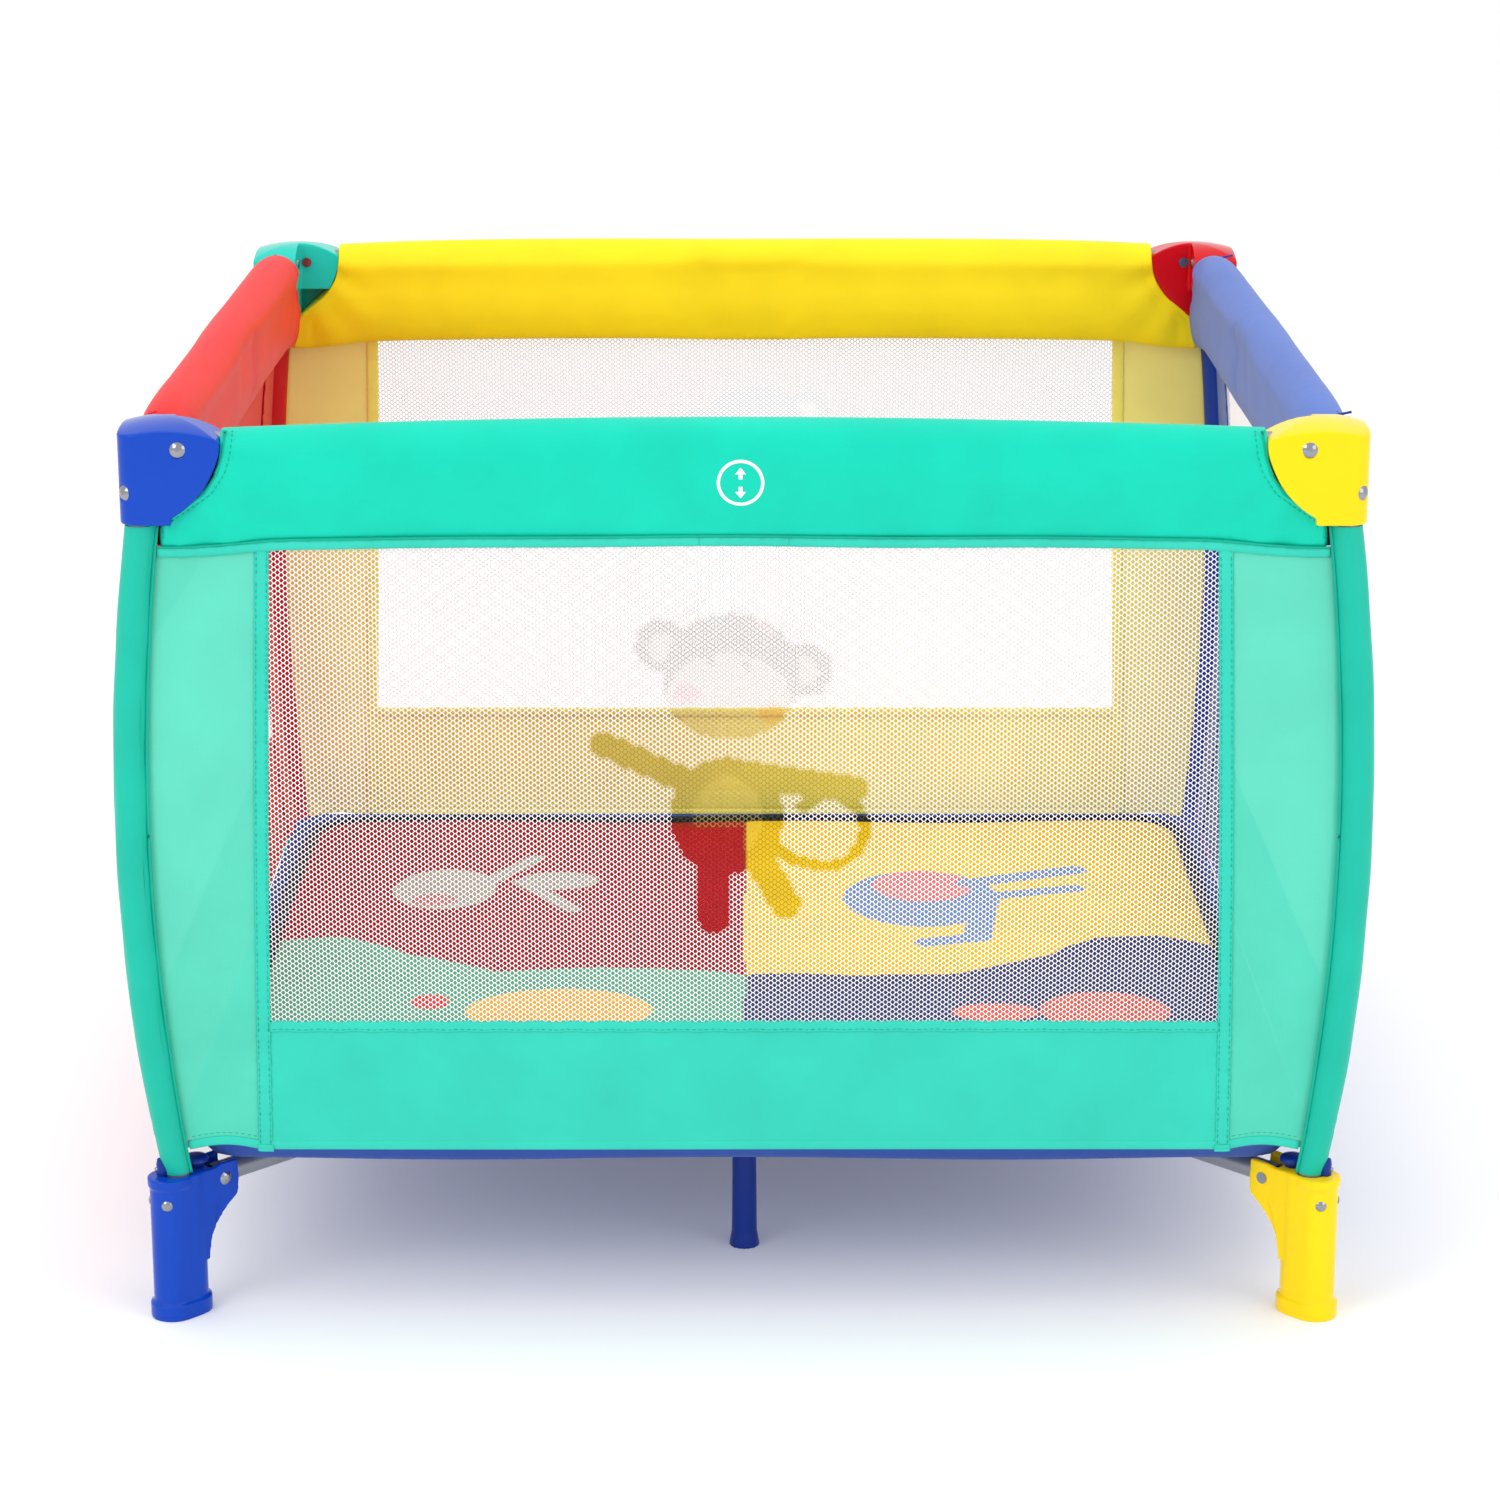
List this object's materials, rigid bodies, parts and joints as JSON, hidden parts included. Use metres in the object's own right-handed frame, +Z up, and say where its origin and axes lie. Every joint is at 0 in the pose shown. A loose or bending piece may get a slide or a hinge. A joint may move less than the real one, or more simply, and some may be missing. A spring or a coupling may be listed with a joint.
{
  "type": "playpen",
  "caption": "Square folding playpen with mesh walls, padded top rails with centre locks, bowed corner posts on plastic feet, a folding cross base and a padded floor mat.",
  "frame": {"origin": "on the ground under the centre of the pen", "axes": "+Z up, -Y out of the front side, +X to the right seen from the front"},
  "size_m": [1.028, 1.028, 0.7709],
  "materials": {
    "frame_steel": "smooth grey enamel on steel tube",
    "rivet_steel": "polished dome heads",
    "blue_plastic": "moulded, glossy",
    "yellow_plastic": "moulded, glossy",
    "red_plastic": "moulded, glossy",
    "turquoise_plastic": "moulded, glossy",
    "navy_plastic": "moulded, satin",
    "grey_plastic": "moulded, satin",
    "teal_fabric": "woven polyester, padded",
    "blue_fabric": "woven polyester, padded",
    "yellow_fabric": "woven polyester, padded",
    "red_fabric": "woven polyester, padded",
    "white_net": "knitted netting",
    "mat_fabric": "printed woven polyester, quilted",
    "floor_fabric": "plain woven polyester"
  },
  "bodies": {
    "front_left_post": {"post_front_left": "frame_steel", "post_sleeve_front_left": "teal_fabric", "corner_cap_front_left": "blue_plastic", "foot_front_left": "blue_plastic", "rivets_front_left": "rivet_steel", "wall_front": "white_net"},
    "front_left_base_tube": {"base_tube_front_left": "frame_steel"},
    "front_right_post": {"post_front_right": "frame_steel", "post_sleeve_front_right": "teal_fabric", "corner_cap_front_right": "yellow_plastic", "foot_front_right": "yellow_plastic", "rivets_front_right": "rivet_steel", "wall_right": "white_net"},
    "front_right_base_tube": {"base_tube_front_right": "frame_steel"},
    "back_right_post": {"post_back_right": "frame_steel", "post_sleeve_back_right": "blue_fabric", "corner_cap_back_right": "red_plastic", "foot_back_right": "red_plastic", "rivets_back_right": "rivet_steel", "wall_back": "white_net"},
    "back_right_base_tube": {"base_tube_back_right": "frame_steel"},
    "back_left_post": {"post_back_left": "frame_steel", "post_sleeve_back_left": "red_fabric", "corner_cap_back_left": "turquoise_plastic", "foot_back_left": "turquoise_plastic", "rivets_back_left": "rivet_steel", "wall_left": "white_net"},
    "back_left_base_tube": {"base_tube_back_left": "frame_steel"},
    "hub": {"hub": "grey_plastic", "hub_pins": "rivet_steel", "floor_cloth": "floor_fabric", "play_mat": "mat_fabric"},
    "front_rail_left": {"front_rail_left": "frame_steel"},
    "front_rail_right": {"front_rail_right": "frame_steel"},
    "front_lock": {"rail_lock_front": "grey_plastic", "lock_pins_front": "rivet_steel", "rail_cover_front": "teal_fabric"},
    "front_button": {"release_button_front": "navy_plastic"},
    "right_rail_front": {"right_rail_front": "frame_steel"},
    "right_rail_back": {"right_rail_back": "frame_steel"},
    "right_lock": {"rail_lock_right": "grey_plastic", "lock_pins_right": "rivet_steel", "rail_cover_right": "blue_fabric"},
    "right_button": {"release_button_right": "navy_plastic"},
    "back_rail_right": {"back_rail_right": "frame_steel"},
    "back_rail_left": {"back_rail_left": "frame_steel"},
    "back_lock": {"rail_lock_back": "grey_plastic", "lock_pins_back": "rivet_steel", "rail_cover_back": "yellow_fabric"},
    "back_button": {"release_button_back": "navy_plastic"},
    "left_rail_back": {"left_rail_back": "frame_steel"},
    "left_rail_front": {"left_rail_front": "frame_steel"},
    "left_lock": {"rail_lock_left": "grey_plastic", "lock_pins_left": "rivet_steel", "rail_cover_left": "red_fabric"},
    "left_button": {"release_button_left": "navy_plastic"},
    "mid_strut_front": {"mid_strut_front": "frame_steel", "mid_foot_front": "navy_plastic"},
    "mid_strut_back": {"mid_strut_back": "frame_steel", "mid_foot_back": "navy_plastic"}
  },
  "joints": [
    {"name": "base_fold", "type": "hinge", "parent": "front_left_post", "child": "front_left_base_tube", "pos_m": [-0.44954, -0.44954, 0.114], "axis": [0.7071, -0.7071, 0], "range_deg": [0, 85], "deforming": ["wall_front", "wall_right", "wall_back", "wall_left", "rail_cover_front", "rail_cover_right", "rail_cover_back", "rail_cover_left", "floor_cloth", "play_mat"]},
    {"name": "hub_level", "type": "hinge", "parent": "front_left_base_tube", "child": "hub", "pos_m": [-0.03536, -0.03536, 0.114], "axis": [0.7071, -0.7071, 0], "range_deg": [-85, 0]},
    {"name": "front_right_base_fold", "type": "hinge", "parent": "hub", "child": "front_right_base_tube", "pos_m": [0.03536, -0.03536, 0.114], "axis": [0.7071, 0.7071, 0], "range_deg": [0, 85]},
    {"name": "front_right_post_level", "type": "hinge", "parent": "front_right_base_tube", "child": "front_right_post", "pos_m": [0.44954, -0.44954, 0.114], "axis": [0.7071, 0.7071, 0], "range_deg": [-85, 0]},
    {"name": "back_right_base_fold", "type": "hinge", "parent": "hub", "child": "back_right_base_tube", "pos_m": [0.03536, 0.03536, 0.114], "axis": [-0.7071, 0.7071, 0], "range_deg": [0, 85]},
    {"name": "back_right_post_level", "type": "hinge", "parent": "back_right_base_tube", "child": "back_right_post", "pos_m": [0.44954, 0.44954, 0.114], "axis": [-0.7071, 0.7071, 0], "range_deg": [-85, 0]},
    {"name": "back_left_base_fold", "type": "hinge", "parent": "hub", "child": "back_left_base_tube", "pos_m": [-0.03536, 0.03536, 0.114], "axis": [-0.7071, -0.7071, 0], "range_deg": [0, 85]},
    {"name": "back_left_post_level", "type": "hinge", "parent": "back_left_base_tube", "child": "back_left_post", "pos_m": [-0.44954, 0.44954, 0.114], "axis": [-0.7071, -0.7071, 0], "range_deg": [-85, 0]},
    {"name": "front_rail_left_fold", "type": "hinge", "parent": "front_left_post", "child": "front_rail_left", "pos_m": [-0.45, -0.475, 0.75], "axis": [0, 1, 0], "range_deg": [0, 85]},
    {"name": "front_lock_level", "type": "hinge", "parent": "front_rail_left", "child": "front_lock", "pos_m": [-0.03581, -0.475, 0.75], "axis": [0, 1, 0], "range_deg": [-85, 0]},
    {"name": "front_rail_right_fold", "type": "hinge", "parent": "front_lock", "child": "front_rail_right", "pos_m": [0.03581, -0.475, 0.75], "axis": [0, -1, 0], "range_deg": [0, 85]},
    {"name": "front_release", "type": "slide", "parent": "front_lock", "child": "front_button", "axis": [0, 1, 0], "range_m": [0, 0.003], "stiffness_N_per_m": 600},
    {"name": "right_rail_front_fold", "type": "hinge", "parent": "front_right_post", "child": "right_rail_front", "pos_m": [0.475, -0.45, 0.75], "axis": [-1, 0, 0], "range_deg": [0, 85]},
    {"name": "right_lock_level", "type": "hinge", "parent": "right_rail_front", "child": "right_lock", "pos_m": [0.475, -0.03581, 0.75], "axis": [-1, 0, 0], "range_deg": [-85, 0]},
    {"name": "right_rail_back_fold", "type": "hinge", "parent": "right_lock", "child": "right_rail_back", "pos_m": [0.475, 0.03581, 0.75], "axis": [1, 0, 0], "range_deg": [0, 85]},
    {"name": "right_release", "type": "slide", "parent": "right_lock", "child": "right_button", "axis": [-1, 0, 0], "range_m": [0, 0.003], "stiffness_N_per_m": 600},
    {"name": "back_rail_right_fold", "type": "hinge", "parent": "back_right_post", "child": "back_rail_right", "pos_m": [0.45, 0.475, 0.75], "axis": [0, -1, 0], "range_deg": [0, 85]},
    {"name": "back_lock_level", "type": "hinge", "parent": "back_rail_right", "child": "back_lock", "pos_m": [0.03581, 0.475, 0.75], "axis": [0, -1, 0], "range_deg": [-85, 0]},
    {"name": "back_rail_left_fold", "type": "hinge", "parent": "back_lock", "child": "back_rail_left", "pos_m": [-0.03581, 0.475, 0.75], "axis": [0, 1, 0], "range_deg": [0, 85]},
    {"name": "back_release", "type": "slide", "parent": "back_lock", "child": "back_button", "axis": [0, -1, 0], "range_m": [0, 0.003], "stiffness_N_per_m": 600},
    {"name": "left_rail_back_fold", "type": "hinge", "parent": "back_left_post", "child": "left_rail_back", "pos_m": [-0.475, 0.45, 0.75], "axis": [1, 0, 0], "range_deg": [0, 85]},
    {"name": "left_lock_level", "type": "hinge", "parent": "left_rail_back", "child": "left_lock", "pos_m": [-0.475, 0.03581, 0.75], "axis": [1, 0, 0], "range_deg": [-85, 0]},
    {"name": "left_rail_front_fold", "type": "hinge", "parent": "left_lock", "child": "left_rail_front", "pos_m": [-0.475, -0.03581, 0.75], "axis": [-1, 0, 0], "range_deg": [0, 85]},
    {"name": "left_release", "type": "slide", "parent": "left_lock", "child": "left_button", "axis": [1, 0, 0], "range_m": [0, 0.003], "stiffness_N_per_m": 600},
    {"name": "mid_strut_front_fold", "type": "hinge", "parent": "hub", "child": "mid_strut_front", "pos_m": [0, -0.08, 0.092], "axis": [1, 0, 0], "range_deg": [0, 85]},
    {"name": "mid_strut_back_fold", "type": "hinge", "parent": "hub", "child": "mid_strut_back", "pos_m": [0, 0.08, 0.092], "axis": [-1, 0, 0], "range_deg": [0, 85]}
  ],
  "couplings": [
    {"joint": "hub_level", "follows": "base_fold", "ratio": -1},
    {"joint": "front_right_base_fold", "follows": "base_fold", "ratio": 1},
    {"joint": "front_right_post_level", "follows": "base_fold", "ratio": -1},
    {"joint": "back_right_base_fold", "follows": "base_fold", "ratio": 1},
    {"joint": "back_right_post_level", "follows": "base_fold", "ratio": -1},
    {"joint": "back_left_base_fold", "follows": "base_fold", "ratio": 1},
    {"joint": "back_left_post_level", "follows": "base_fold", "ratio": -1},
    {"joint": "front_rail_left_fold", "follows": "base_fold", "ratio": 1},
    {"joint": "front_lock_level", "follows": "base_fold", "ratio": -1},
    {"joint": "front_rail_right_fold", "follows": "base_fold", "ratio": 1},
    {"joint": "right_rail_front_fold", "follows": "base_fold", "ratio": 1},
    {"joint": "right_lock_level", "follows": "base_fold", "ratio": -1},
    {"joint": "right_rail_back_fold", "follows": "base_fold", "ratio": 1},
    {"joint": "back_rail_right_fold", "follows": "base_fold", "ratio": 1},
    {"joint": "back_lock_level", "follows": "base_fold", "ratio": -1},
    {"joint": "back_rail_left_fold", "follows": "base_fold", "ratio": 1},
    {"joint": "left_rail_back_fold", "follows": "base_fold", "ratio": 1},
    {"joint": "left_lock_level", "follows": "base_fold", "ratio": -1},
    {"joint": "left_rail_front_fold", "follows": "base_fold", "ratio": 1},
    {"joint": "mid_strut_front_fold", "follows": "base_fold", "ratio": 1},
    {"joint": "mid_strut_back_fold", "follows": "base_fold", "ratio": 1}
  ]
}
